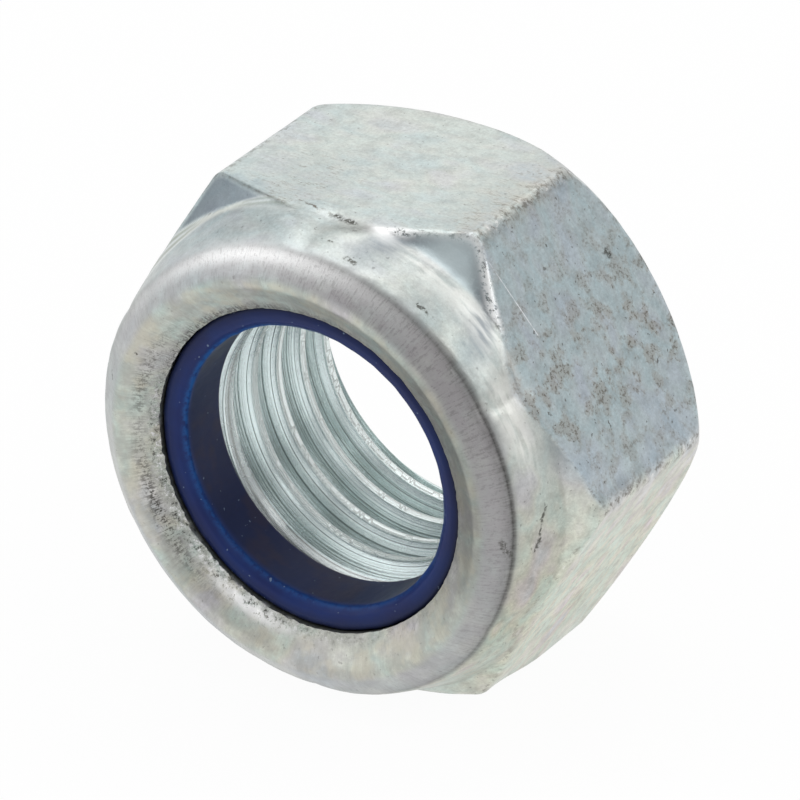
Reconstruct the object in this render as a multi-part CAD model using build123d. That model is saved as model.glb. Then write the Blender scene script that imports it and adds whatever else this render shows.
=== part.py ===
from build123d import *
import math
import os

# Hexagon lock nut with a ring crimped into its collar.
# Millimetres, +Z up. The nut stands on a flat of its hexagon, with the ring's end towards -Y.
# It is drawn upright first, with its thread along Z, its bearing face on z = 0 and two corners
# of the hexagon on the X axis. Heights are measured in that pose, and a profile point is
# (radius, height).

# Thread
THREAD_DIAMETER = 20.0
THREAD_PITCH = 2.5
FIRST_GROOVE_HEIGHT = 1.97  # the middle of the groove nearest to the bearing face
GROOVE_COUNT = 5
BEARING_MOUTH_DIAMETER = 22.0
RING_SIDE_MOUTH_DIAMETER = 19.0
COUNTERSINK_ANGLE = 45.0  # from the axis

# Hexagon
ACROSS_FLATS = 30.0
CORNER_RADIUS = 1.0
BEARING_DIAMETER = 28.5
BEARING_ROUNDING_RADIUS = 10.0  # rounds the corners on the bearing side
BEARING_ROUNDING_HEIGHT = 3.3  # where that rounding meets the sharp corners
SHOULDER_HEIGHT = 12.6  # top of the sharp corners

# Collar
FOLD_DIAMETER = 30.6  # where the corner shoulders meet the collar
FOLD_HEIGHT = 14.55
FOLD_RADIUS = 1.2
BEND_DIAMETER = 28.4  # where the collar starts to roll inwards
BEND_HEIGHT = 17.75
BEND_RADIUS = 1.0
RIDGE_DIAMETER = 24.9  # the highest line of the rolled end
RIDGE_RADIUS = 0.8
RIDGE_HEIGHT = 19.3  # before its rounding
LIP_DIAMETER = 20.5
LIP_HEIGHT = 17.85
LIP_THICKNESS = 0.55

# Ring and its recess
RECESS_DIAMETER = 24.6
RECESS_FLOOR_HEIGHT = 13.75
RECESS_WALL_HEIGHT = 2.5
RING_BORE_DIAMETER = 17.55
RING_FRONT_DROP = 0.15  # how far the ring's front face lies below the lip
RING_EDGE_RADIUS = 0.4

# Cutting solids
PAST_END = 1.0  # how far a cutter reaches past the face that it opens
PAST_WALL = 0.3  # how far the groove's cutter reaches inside the thread's crests

# The basic profile of a 60 degree thread
FLANK_ANGLE = 30.0
THREAD_HEIGHT = THREAD_PITCH / 2 / math.tan(math.radians(FLANK_ANGLE))
CREST_RADIUS = THREAD_DIAMETER / 2 - 5 / 8 * THREAD_HEIGHT
ROOT_WIDTH = THREAD_PITCH / 8


def closed_profile(*edges):
    """A flat face in the XZ plane from edges drawn as (radius, height) in XY."""
    return Plane.XZ * make_face(Curve() + list(edges))


def rounded(face, corners):
    """The profile with each (radius, height, rounding) corner rounded."""
    for r, z, rounding in corners:
        nearest = min(face.vertices(), key=lambda v: math.hypot(v.X - r, v.Z - z))
        face = fillet(nearest, rounding)
    return face


def cone_height(wide, narrow):
    """The height of a countersink between two diameters."""
    return (wide - narrow) / 2 / math.tan(math.radians(COUNTERSINK_ANGLE))


def hexagon_bar():
    section = RegularPolygon(ACROSS_FLATS / 2, 6, major_radius=False)
    bar = extrude(section, RIDGE_HEIGHT)
    return fillet(bar.edges().filter_by(Axis.Z), CORNER_RADIUS)


def turned_envelope():
    """Trims the bar: rounded corners on the bearing side, shoulders and a rolled collar above."""
    corner = ACROSS_FLATS / math.sqrt(3)
    bearing = (BEARING_DIAMETER / 2, 0)
    rounding_top = (corner, BEARING_ROUNDING_HEIGHT)
    fold = (FOLD_DIAMETER / 2, FOLD_HEIGHT)
    bend = (BEND_DIAMETER / 2, BEND_HEIGHT)
    ridge = (RIDGE_DIAMETER / 2, RIDGE_HEIGHT)
    lip = (LIP_DIAMETER / 2, LIP_HEIGHT)
    outline = closed_profile(
        RadiusArc(rounding_top, bearing, BEARING_ROUNDING_RADIUS),
        Polyline(
            rounding_top,
            (corner, SHOULDER_HEIGHT),
            fold,
            bend,
            ridge,
            lip,
            (0, LIP_HEIGHT),
            (0, 0),
            bearing,
        ),
    )
    outline = rounded(
        outline,
        [(*fold, FOLD_RADIUS), (*bend, BEND_RADIUS), (*ridge, RIDGE_RADIUS)],
    )
    return revolve(outline, Axis.Z)


def bore_and_recess():
    """The plain hollow before threading, from the bearing face to the lip."""
    crest = 2 * CREST_RADIUS
    below = cone_height(BEARING_MOUTH_DIAMETER, crest)
    above = cone_height(RING_SIDE_MOUTH_DIAMETER, crest)
    mouth = BEARING_MOUTH_DIAMETER / 2
    hollow = closed_profile(
        Polyline(
            (0, -PAST_END),
            (mouth, -PAST_END),
            (mouth, 0),
            (CREST_RADIUS, below),
            (CREST_RADIUS, RECESS_FLOOR_HEIGHT - above),
            (RING_SIDE_MOUTH_DIAMETER / 2, RECESS_FLOOR_HEIGHT),
            *recess_wall(),
            (LIP_DIAMETER / 2, LIP_HEIGHT + PAST_END),
            (0, LIP_HEIGHT + PAST_END),
            close=True,
        )
    )
    return revolve(hollow, Axis.Z)


def recess_wall():
    """Points that the recess and the ring share, from the floor to the lip's inner edge."""
    wall = RECESS_DIAMETER / 2
    return [
        (wall, RECESS_FLOOR_HEIGHT),
        (wall, RECESS_FLOOR_HEIGHT + RECESS_WALL_HEIGHT),
        (LIP_DIAMETER / 2, LIP_HEIGHT - LIP_THICKNESS),
    ]


def groove():
    """One thread groove, closed into a ring, with its middle at z = 0."""
    inner = CREST_RADIUS - PAST_WALL
    outer = THREAD_DIAMETER / 2
    spread = (outer - inner) * math.tan(math.radians(FLANK_ANGLE))
    root = ROOT_WIDTH / 2
    section = closed_profile(
        Polyline(
            (inner, -root - spread),
            (outer, -root),
            (outer, root),
            (inner, root + spread),
            close=True,
        )
    )
    return revolve(section, Axis.Z)


def threaded(body):
    """The body with the thread's grooves, which stand in for its helix."""
    for turn in range(GROOVE_COUNT):
        body -= Pos(0, 0, FIRST_GROOVE_HEIGHT + turn * THREAD_PITCH) * groove()
    return body


def nut_body():
    """The steel body, one piece from bearing face to rolled lip."""
    blank = hexagon_bar() & turned_envelope()
    return threaded(blank - bore_and_recess())


def nylon_ring():
    """Fills the recess up to the rolled lip, with a plain bore that the bolt's thread bites into."""
    bore = RING_BORE_DIAMETER / 2
    front = LIP_HEIGHT - RING_FRONT_DROP
    section = closed_profile(
        Polyline(
            (bore, RECESS_FLOOR_HEIGHT),
            *recess_wall(),
            (LIP_DIAMETER / 2, front),
            (bore, front),
            close=True,
        )
    )
    return revolve(rounded(section, [(bore, front, RING_EDGE_RADIUS)]), Axis.Z)


def standing_pose(body):
    """Lays an upright piece on a flat, with the origin under the middle of the body."""
    middle = body.bounding_box().max.Z / 2
    return Pos(0, middle, ACROSS_FLATS / 2) * Rot(90, 0, 0)


body = nut_body()
pose = standing_pose(body)
pieces = {"nut_body": body, "nylon_ring": nylon_ring()}
os.makedirs("parts", exist_ok=True)
for name, piece in pieces.items():
    export_step(pose * piece, f"parts/{name}.step")
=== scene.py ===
"""Dresses the lock nut: its plated steel body with the thread, its nylon ring, and a studio."""

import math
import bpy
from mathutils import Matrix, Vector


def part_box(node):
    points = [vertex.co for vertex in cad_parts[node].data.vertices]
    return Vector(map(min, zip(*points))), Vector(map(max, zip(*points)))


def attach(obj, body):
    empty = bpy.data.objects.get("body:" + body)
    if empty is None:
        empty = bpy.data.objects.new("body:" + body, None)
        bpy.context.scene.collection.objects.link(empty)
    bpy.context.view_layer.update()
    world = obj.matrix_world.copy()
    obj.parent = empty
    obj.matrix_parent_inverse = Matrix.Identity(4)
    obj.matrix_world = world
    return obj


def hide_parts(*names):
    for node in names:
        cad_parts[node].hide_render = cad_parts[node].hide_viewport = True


bl_info = {
    "name": "Lock Nut",
    "version": (1, 0, 0),
    "blender": (4, 5, 0),
    "location": "3D View > Sidebar > Lock Nut",
    "description": "Builds a plated hexagon lock nut with a nylon ring, and a plain studio for it",
    "category": "Object",
}

import bpy
import numpy as np

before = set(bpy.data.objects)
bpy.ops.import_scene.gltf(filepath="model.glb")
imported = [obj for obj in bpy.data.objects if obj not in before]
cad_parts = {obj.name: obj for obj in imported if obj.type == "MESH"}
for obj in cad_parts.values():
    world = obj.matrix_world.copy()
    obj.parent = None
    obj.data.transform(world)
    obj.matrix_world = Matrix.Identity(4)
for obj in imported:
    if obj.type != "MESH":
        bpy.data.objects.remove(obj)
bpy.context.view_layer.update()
STEEL_LOW, STEEL_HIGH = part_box("nut_body")

MM = 0.001
COLUMNS_PER_FLAT = 72
ROUNDING_ROWS = 11
FLAT_ROWS = 18
SHOULDER_ROWS = 27
LIP_ROWS = 46
RING_ROWS = 130
TURN = 2 * math.pi

# Corners of the hexagon, by angle from +X. A is the deep one, upper right at the ring's end.
CORNER_A = math.radians(60)
CORNER_B = 0.0
CORNER_C = math.radians(120)
CORNER_D = math.radians(-60)
CORNER_ARC = 17  # turns an angle near a corner into mm, about the corner's radius

# Heights above the bearing face, in mm
ROUNDING_TOP = 3.3
RECESS_FLOOR = 13.75
FOLD_HEIGHT = 14.55
NECK_HEIGHT = 17.2  # below it the rows follow the shoulders
BEND_HEIGHT = 17.75
LIP_HEIGHT = 17.85
RIDGE_HEIGHT = 19.3
FIRST_GROOVE = 0.35  # the thread's groove there is on the +X side

# Radii in mm
ROUNDING_RADIUS = 10.0
RING_MOUTH = 9.5
BEARING_MOUTH = 11.0
RECESS_RADIUS = 12.3

# Directions from the nut
TO_CAMERA = (0.4945, -0.7293, 0.4728)
TO_FAR_RIGHT = (0.70, 0.70, 0.12)


# ---- settings


class SteelBodySettings(bpy.types.PropertyGroup):
    across_flats: bpy.props.FloatProperty(
        name="Across flats",
        description="Distance between two opposite flats",
        default=STEEL_HIGH.z - STEEL_LOW.z,
        unit="LENGTH",
    )
    corner_radius: bpy.props.FloatProperty(
        name="Corner radius",
        description="Rounding along the hexagon's corners",
        default=1.0 * MM,
        unit="LENGTH",
    )
    bearing_diameter: bpy.props.FloatProperty(
        name="Bearing diameter",
        description="Outer diameter of the flat bearing face",
        default=28.5 * MM,
        unit="LENGTH",
    )
    shoulder_height: bpy.props.FloatProperty(
        name="Shoulder height",
        description="Height at which the corners fall away to the collar",
        default=12.6 * MM,
        unit="LENGTH",
    )
    fold_diameter: bpy.props.FloatProperty(
        name="Fold diameter",
        description="Diameter where the shoulders meet the collar",
        default=30.6 * MM,
        unit="LENGTH",
    )
    bend_diameter: bpy.props.FloatProperty(
        name="Bend diameter",
        description="Diameter where the collar starts to roll inwards",
        default=28.4 * MM,
        unit="LENGTH",
    )
    ridge_diameter: bpy.props.FloatProperty(
        name="Ridge diameter",
        description="Diameter of the highest line of the rolled end",
        default=24.9 * MM,
        unit="LENGTH",
    )
    lip_diameter: bpy.props.FloatProperty(
        name="Lip diameter",
        description="Inner diameter of the rolled lip",
        default=20.5 * MM,
        unit="LENGTH",
    )
    thread_diameter: bpy.props.FloatProperty(
        name="Thread diameter",
        description="Diameter at the bottom of the thread's groove",
        default=20.0 * MM,
        unit="LENGTH",
    )
    thread_pitch: bpy.props.FloatProperty(
        name="Thread pitch",
        description="Distance between two turns of the thread",
        default=2.5 * MM,
        unit="LENGTH",
    )
    pale: bpy.props.FloatVectorProperty(
        name="Pale plating",
        description="Main colour of the plating",
        default=(0.66, 0.70, 0.68),
        size=3,
        subtype="COLOR",
    )
    # Blue-grey of the plating; on the right flat and the collar under corner C it is partly
    # painted shade
    blue_grey_and_shade: bpy.props.FloatVectorProperty(
        name="Cool plating",
        description="Blue-grey tone of the plating",
        default=(0.455, 0.555, 0.62),
        size=3,
        subtype="COLOR",
    )
    warm: bpy.props.FloatVectorProperty(
        name="Warm plating",
        description="Cream tone of the plating",
        default=(0.57, 0.535, 0.455),
        size=3,
        subtype="COLOR",
    )
    stain: bpy.props.FloatVectorProperty(
        name="Stain",
        description="Brown-grey of the mottles on the stained flat",
        default=(0.36, 0.325, 0.28),
        size=3,
        subtype="COLOR",
    )


class NylonRingSettings(bpy.types.PropertyGroup):
    bore_diameter: bpy.props.FloatProperty(
        name="Bore diameter",
        description="Diameter of the ring's plain bore",
        default=17.55 * MM,
        unit="LENGTH",
    )
    colour: bpy.props.FloatVectorProperty(
        name="Nylon",
        description="Colour of the nylon",
        default=(0.008, 0.027, 0.145),
        size=3,
        subtype="COLOR",
    )


class StudioSettings(bpy.types.PropertyGroup):
    floor_colour: bpy.props.FloatVectorProperty(
        name="Floor",
        description="Colour of the floor",
        default=(0.97, 0.97, 0.97),
        size=3,
        subtype="COLOR",
    )
    fill: bpy.props.FloatProperty(
        name="Fill light",
        description="Level of the soft light from all round",
        default=0.7,
        min=0.0,
    )
    lamp_power: bpy.props.FloatProperty(
        name="Lamp power",
        description="Power of the main soft lamp",
        default=1.0,
        min=0.0,
    )


# ---- shapes


def smoothstep(value, low, high):
    """Rises from 0 at low to 1 at high as 3t^2 - 2t^3."""
    t = np.clip((value - low) / (high - low), 0, 1)
    return t * t * (3 - 2 * t)


def soft_min(a, b, width):
    """The smaller of two values, blended by a parabola where they differ by less than width."""
    t = np.clip(0.5 + 0.5 * (b - a) / width, 0, 1)
    return b * (1 - t) + a * t - width * t * (1 - t)


def soft_max(a, b, width):
    """The larger of two values, blended as soft_min does."""
    return -soft_min(-a, -b, width)


def ripple(points, wavelength, seed, waves=36):
    """Smooth unevenness near -1 to 1: a sum of plane sine waves in random directions."""
    rng = np.random.default_rng(seed)
    direction = rng.normal(size=(waves, 3))
    direction /= np.linalg.norm(direction, axis=1)[:, None]
    length = wavelength * rng.uniform(0.6, 1.6, waves)
    phase = rng.uniform(0, TURN, waves)
    along = points @ (direction * (TURN / length)[:, None]).T
    return np.sin(along + phase).sum(-1) / math.sqrt(waves)


def columns():
    """Angles round the thread axis, closer together at the hexagon's corners."""
    t = np.arange(6 * COLUMNS_PER_FLAT) / COLUMNS_PER_FLAT
    return (t - 0.6 * np.sin(TURN * t) / TURN) * TURN / 6


def corner_distance(angle):
    """Angle from the nearest corner of the hexagon; the corners are at 0, 60, 120 degrees."""
    return np.abs((angle + TURN / 12) % (TURN / 6) - TURN / 12)


def near(angle, centre, width):
    """A bell of the given half width round one angle, which wraps at a full turn."""
    away = np.abs((angle - centre + math.pi) % TURN - math.pi)
    return np.exp(-((away / width) ** 2))


def about(angle, degrees, width):
    """The bell of near, round an angle given in degrees."""
    return near(angle, math.radians(degrees), width)


def bell(value, centre, width):
    """Falls from 1 at the centre as exp of minus the square of distance over width."""
    return np.exp(-(((value - centre) / width) ** 2))


def hexagon_radius(angle, across, rounding):
    """Distance to a hexagon in each direction: its flats, and an arc in each corner."""
    away = corner_distance(angle)
    flat = across / 2 / np.cos(TURN / 12 - away)
    middle = (across / 2 - rounding) / math.cos(TURN / 12)
    sine = np.minimum(middle * np.sin(away) / rounding, 1)
    arc = middle * np.cos(away) + rounding * np.sqrt(1 - sine**2)
    meets = math.atan2(rounding * 0.5, middle + rounding * math.cos(TURN / 12))
    return np.where(away < meets, arc, flat)


def rounded_line(points, radii):
    """A polyline whose corners are parabolas that touch both runs."""
    line = [np.array([points[0]], float)]
    for before, corner, after, radius in zip(points, points[1:], points[2:], radii):
        corner = np.array(corner, float)
        a = np.array(before) - corner
        b = np.array(after) - corner
        a = a / np.linalg.norm(a)
        b = b / np.linalg.norm(b)
        reach = radius / math.tan(math.acos(np.clip(a @ b, -1, 1)) / 2)
        u = np.linspace(0, 1, 13)[:, None]
        line.append(corner + a * reach * (1 - u) ** 2 + b * reach * u**2)
    line.append(np.array([points[-1]], float))
    return np.concatenate(line)


def lengths(line):
    """Distance along a line up to each of its points."""
    steps = np.linalg.norm(np.diff(line, axis=0), axis=1)
    return np.concatenate([[0], np.cumsum(steps)])


def standing(radius, angle, height):
    """From (radius, angle, height above the bearing face) in mm to a nut lying on a flat."""
    across = radius * np.cos(angle)
    upwards = radius * np.sin(angle) + STEEL_HIGH.z / MM / 2
    return np.stack([across, STEEL_HIGH.y / MM - height, upwards], -1)


def quads(count, rows, lift=0):
    """Corner numbers of the cells of a grid that closes round its columns.

    Where the columns close, the last meets the first lift rows further up, as a screw does.
    """
    column, row = np.meshgrid(np.arange(count), np.arange(rows - 1), indexing="ij")
    shift = np.where(column == count - 1, lift, 0)
    keep = row + shift + 1 < rows
    column, row, shift = column[keep], row[keep], shift[keep]
    here = column * rows + row
    across = (column + 1) % count * rows + row + shift
    return np.stack([here, across, across + 1, here + 1], -1)


class Patch:
    """A grid of points with its cells and its marks, one value for each point."""

    def __init__(self, radius, angle, height, lift=0, **marks):
        radius, angle, height = np.broadcast_arrays(radius, angle, height)
        self.points = standing(radius, angle, height).reshape(-1, 3)
        self.cells = quads(*radius.shape, lift)
        self.marks = {
            name: np.broadcast_to(value, radius.shape).reshape(-1)
            for name, value in marks.items()
        }


def weld(patches):
    """Joins patches: points that round to the same micrometre become one, empty cells go."""
    starts = np.cumsum([0] + [len(p.points) for p in patches])
    points = np.concatenate([p.points for p in patches])
    cells = np.concatenate([p.cells + s for p, s in zip(patches, starts)])
    names = sorted(set().union(*(p.marks for p in patches)))
    marks = {
        n: np.concatenate([p.marks.get(n, np.zeros(len(p.points))) for p in patches])
        for n in names
    }
    keys = np.round(points * 1000).astype(np.int64)
    _, first, same = np.unique(keys, axis=0, return_index=True, return_inverse=True)
    cells = same.reshape(-1)[cells]
    points = points[first]
    marks = {n: v[first] for n, v in marks.items()}
    repeated = cells == np.roll(cells, -1, axis=1)
    whole = cells[~repeated.any(1)]
    whole = whole[(whole[:, 0] != whole[:, 2]) & (whole[:, 1] != whole[:, 3])]
    narrow = repeated.sum(1) == 1
    threes = cells[narrow][~repeated[narrow]].reshape(-1, 3)
    threes = threes[threes[:, 0] != threes[:, 2]]
    volume = sum(
        np.einsum("ij,ij->i", points[t[:, 0]], np.cross(points[t[:, 1]], points[t[:, 2]])).sum()
        for t in (whole[:, :3], whole[:, [0, 2, 3]], threes)
    )
    if volume < 0:
        whole, threes = whole[:, ::-1], threes[:, ::-1]
    return points, whole, threes, marks


def mesh_piece(name, patches, sharp):
    """A new object with its mesh in metres, smooth but for edges sharper than the angle."""
    points, whole, threes, marks = weld(patches)
    mesh = bpy.data.meshes.new(name)
    mesh.vertices.add(len(points))
    mesh.vertices.foreach_set("co", (points * MM).astype(np.float32).ravel())
    corners = np.concatenate([whole.ravel(), threes.ravel()])
    starts = np.concatenate(
        [np.arange(len(whole)) * 4, len(whole) * 4 + np.arange(len(threes)) * 3]
    )
    mesh.loops.add(len(corners))
    mesh.loops.foreach_set("vertex_index", corners.astype(np.int32))
    mesh.polygons.add(len(starts))
    mesh.polygons.foreach_set("loop_start", starts.astype(np.int32))
    mesh.update(calc_edges=True)
    if mesh.validate():
        raise RuntimeError(f"{name} has faulty faces")
    mesh.polygons.foreach_set("use_smooth", np.ones(len(starts), bool))
    mesh.set_sharp_from_angle(angle=math.radians(sharp))
    for mark, values in marks.items():
        layer = mesh.attributes.new(mark, "FLOAT", "POINT")
        layer.data.foreach_set("value", values.astype(np.float32))
    piece = bpy.data.objects.new(name, mesh)
    bpy.context.scene.collection.objects.link(piece)
    return piece


# ---- steel body


def outer_line(sizes):
    """The turned outline as (radius, height): bearing rounding, corner, collar and lip."""
    corner = sizes.across_flats / MM / math.sqrt(3)
    start = np.array([sizes.bearing_diameter / MM / 2, 0])
    top = np.array([corner, ROUNDING_TOP])
    chord = top - start
    half = np.linalg.norm(chord) / 2
    outwards = np.array([chord[1], -chord[0]]) / (2 * half)
    centre = (start + top) / 2 - outwards * math.sqrt(ROUNDING_RADIUS**2 - half**2)
    ends = [math.atan2(*(p - centre)[::-1]) for p in (start, top)]
    sweep = np.linspace(*ends, 25)
    rounding = centre + ROUNDING_RADIUS * np.stack([np.cos(sweep), np.sin(sweep)], -1)
    fold = (sizes.fold_diameter / MM / 2, FOLD_HEIGHT)
    bend = (sizes.bend_diameter / MM / 2, BEND_HEIGHT)
    ridge = (sizes.ridge_diameter / MM / 2, RIDGE_HEIGHT)
    lip = (sizes.lip_diameter / MM / 2, LIP_HEIGHT)
    shoulder = (corner, sizes.shoulder_height / MM)
    collar = rounded_line([shoulder, fold, bend, ridge, lip], [1.2, 1.0, 0.8])
    return np.concatenate([rounding, collar]), len(rounding), fold, bend, ridge


def outside_rows(line, s, turned, hexagon):
    """Distance along the outline for each row and column, and where the flats begin.

    Rows are shared out over four runs: the bearing rounding, the flats, the shoulders up to
    the neck, and the rest up to the lip, closer together at the flats' ends.
    """
    low = np.interp(hexagon, line[:turned, 0], s[:turned])
    high = np.interp(hexagon, line[turned:, 0][::-1], s[turned:][::-1])
    upper = slice(turned, turned + len(line) // 2)
    neck = np.interp(NECK_HEIGHT, line[upper, 1], s[upper])
    t = np.linspace(0, 1, ROUNDING_ROWS, endpoint=False)
    rows = [np.outer(low, 1 - (1 - t) ** 1.5)]
    t = np.linspace(0, 1, FLAT_ROWS, endpoint=False)
    rows.append(low[:, None] + np.outer(high - low, 0.5 - 0.5 * np.cos(math.pi * t)))
    t = np.linspace(0, 1, SHOULDER_ROWS, endpoint=False)
    rows.append(high[:, None] + np.outer(neck - high, t**1.4))
    upwards = np.linspace(neck, s[-1], LIP_ROWS)
    rows.append(np.broadcast_to(upwards, (len(hexagon), LIP_ROWS)))
    return np.concatenate(rows, 1), low


def outside(sizes, angle):
    """The hexagon cut by the turned outline, from the bearing face's edge to the lip.

    A point's distance along the outline depends on its row and column, so that rows follow
    the edges between flats, rounding and shoulders. Its radius is the softer minimum of the
    hexagon's and the outline's. Corner A's shoulder starts lower and is hollowed deeper.
    """
    line, turned, fold, bend, ridge = outer_line(sizes)
    s = lengths(line)
    corner = line[:, 0].max()
    hexagon = hexagon_radius(angle, sizes.across_flats / MM, sizes.corner_radius / MM)
    along, low = outside_rows(line, s, turned, hexagon)
    radius = np.interp(along, s, line[:, 0])
    height = np.interp(along, s, line[:, 1])
    a = angle[:, None]
    at_a = near(a, CORNER_A, 0.25)
    share = np.clip((radius - fold[0]) / (corner - fold[0]), 0, 1)
    above = along > s[turned]
    weight = np.where(above, share, smoothstep(height, 6, 12.6))
    height = height + (0.5 - 0.55 * at_a) * weight
    hollow = (0.12 + 0.3 * at_a) * 4 * share * (1 - share)
    cut = radius - hollow * above
    facing = corner_distance(a) / (TURN / 12)
    below_b = near(a, CORNER_B - 0.22, 0.20) + near(a, CORNER_D, 0.3)
    width = 0.12 + 0.5 * below_b + 1.4 * facing**4
    blunt = 0.40 * near(a, CORNER_D, 0.09) + 0.15 * near(a, CORNER_B + 0.05, 0.05)
    hexagon = hexagon[:, None] - blunt * smoothstep(height, 7.5, 12.5)
    shape = soft_min(hexagon, cut, np.where(above, width, 0.25))
    gap = hexagon - cut
    reach = (radius - fold[0]) / (corner - fold[0])
    free = smoothstep(gap, 0.02, 0.35)
    on_flat = 1 - smoothstep(gap, -0.05, 0.1)
    after_bend = smoothstep(radius, bend[0] + 0.15, bend[0] - 0.25) * above
    dish = smoothstep(radius, ridge[0] + 0.50, ridge[0] - 0.10) * above
    lip = line[-1, 0]
    lip_edge = smoothstep(radius, lip + 0.95, lip + 0.15) * above
    worst = about(a, 218, 0.75)
    points = standing(shape, a, height)
    rough = ripple(points, 0.42, 5) * lip_edge * (0.012 + 0.05 * worst)
    wave = 0.03 * (ripple(points, 7.0, 1) - 1.6) + 0.010 * ripple(points, 1.2, 2)
    shape = shape + wave * (1 - 0.6 * on_flat) + rough
    height = height + np.where(above, ripple(points, 0.5, 6) * lip_edge * (0.01 + 0.05 * worst), 0)
    pressed = about(a, 5, 1.05)
    crease = bell(radius, bend[0] - 0.12, 0.2) * above
    shape = shape - crease * (0.02 + 0.13 * pressed)
    marks = shoulder_marks(a, reach, gap, share, free, above)
    marks.update(end_marks(a, radius, above, bend[0], lip, pressed))
    low_edge = bell(along, low[:, None], 0.22)
    corner_line = bell(corner_distance(a) * CORNER_ARC, 0, 0.48) * (1 - free * above)
    shoulder_line = bell(gap, -0.02, 0.13) * above * (1 - at_a) * (1 - facing**2)
    beside_a = (a - CORNER_A) * CORNER_ARC
    scuffed = np.where(beside_a > 0, bell(beside_a, 0, 2.4), bell(beside_a, 0, 0.6))
    right_flat = smoothstep(np.abs(a - TURN / 12), 0.545, 0.48)
    low_side = smoothstep((a + math.pi) % TURN - math.pi, 0.04, -0.02)
    warm = about(a, -32, 0.60) * (1 - after_bend)
    return Patch(
        shape,
        a,
        height,
        band=after_bend * (1 - dish) * (0.35 + 0.65 * about(a, 45, 1.9)),
        dish=dish,
        lip_edge=lip_edge,
        corner_edge=np.maximum(np.maximum(corner_line, 0.6 * low_edge), 0.8 * shoulder_line),
        scuffed=scuffed * (1 - free * above) * smoothstep(height, 0, 4),
        # Blue-grey on the right flat, partly painted shade, and painted bluish shade on the collar
        # under corner C
        blue_grey_and_shade=right_flat * on_flat + 0.7 * near(a, CORNER_C, 0.45) * above,
        collar=smoothstep(reach, 0.12, -0.05) * above * (1 - after_bend),
        warm=warm * np.maximum(low_side, free * above),
        stained=right_flat * on_flat * (0.35 + 0.65 * about(a, 24, 0.36)),
        # Wear on the top flat; the same mark is a painted highlight on the nylon
        wear_and_highlight=about(a, 104, 0.16) * smoothstep(height, 6, 11) * on_flat,
        **marks,
    )


def shoulder_marks(a, reach, gap, share, free, above):
    """Painted shade and painted highlights of the shoulders, by angle and by distance from their
    edges.

    Corner A's hollow has painted shade beside its edges, painted glints on its rims and a painted
    white highlight at its tip. Corner C's facet has painted shade all over and painted bright arcs
    under it, with olive arcs between, and a patch of painted shade lies between the collar's
    painted highlight and corner B.
    """
    in_a = smoothstep(np.abs(a - CORNER_A), 0.42, 0.30)
    at_c = smoothstep(np.abs(a - CORNER_C), 0.46, 0.34)
    beside_edge = bell(gap, 0.45, 0.50)
    arm = about(a, 48, 0.14) + 0.85 * about(a, 72, 0.10)
    # Painted shade: beside corner A's edges, over facet C, at the two far corners, and a patch
    # near corner B
    hollow_a = in_a * beside_edge * np.clip(arm + 0.1, 0, 1)
    facet_c = 0.80 * at_c * smoothstep(share, 0.03, 0.14)
    patch_b = about(a, 15, 0.085) * smoothstep(reach, -0.25, 0.05)
    patch_b = patch_b * smoothstep(gap, -0.05, 0.15)
    others = 0.35 * (near(a, math.pi, 0.2) + about(a, 240, 0.2))
    shade = hollow_a + facet_c + others * smoothstep(share, 0.1, 0.4)
    under_c = near(a, CORNER_C + 0.16, 0.40) * above
    slant = 0.7 * np.clip(a - CORNER_C, -0.4, 0.6)
    # Painted highlights: bright arcs under corner C; the arcs between them are olive
    bright_arcs = sum(bell(reach, -at * slant, 0.03) for at in (-0.3, 0.5, 1.3))
    dark_arcs = sum(bell(reach, -at * slant, 0.03) for at in (0.1, 0.9))
    # The shoulders' top edge near corners A and C, darkened with painted shade
    top_line = bell(gap, 0.02, 0.20) * above
    top_line = top_line * (about(a, 78, 0.16) + about(a, 112, 0.22))
    beside_a = about(a, 52, 0.40) * above
    lower = about(a, 25, 0.20) * above
    # Painted highlight along the collar beside corner A and lower down towards corner B
    collar_highlight = bell(reach, -0.07, 0.15) * beside_a + 1.3 * bell(reach, -0.33, 0.13) * lower
    # Painted glints along the rims of corner A's hollow
    rim = bell(gap, 0.12, 0.32) * above * smoothstep(share, 0.0, 0.15)
    # A painted white highlight at the tip of corner A's hollow
    tip_highlight = about(a, 76.5, 0.05) * bell(reach, 0.05, 0.10)
    arms = about(a, 49, 0.25) + 0.9 * about(a, 74, 0.07)
    return {
        "shade": np.clip(shade * free + 0.62 * patch_b, 0, 1) * above,
        "hollow": in_a * free * above * smoothstep(share, 0.02, 0.15),
        "top_line": np.clip(top_line, 0, 1),
        "arc": np.clip(under_c * bright_arcs, 0, 1),
        "olive": np.clip(under_c * dark_arcs, 0, 1),
        "collar_highlight": np.clip(collar_highlight, 0, 1),
        "rim": np.clip(rim * arms, 0, 1),
        "tip_highlight": tip_highlight * above,
    }


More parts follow.
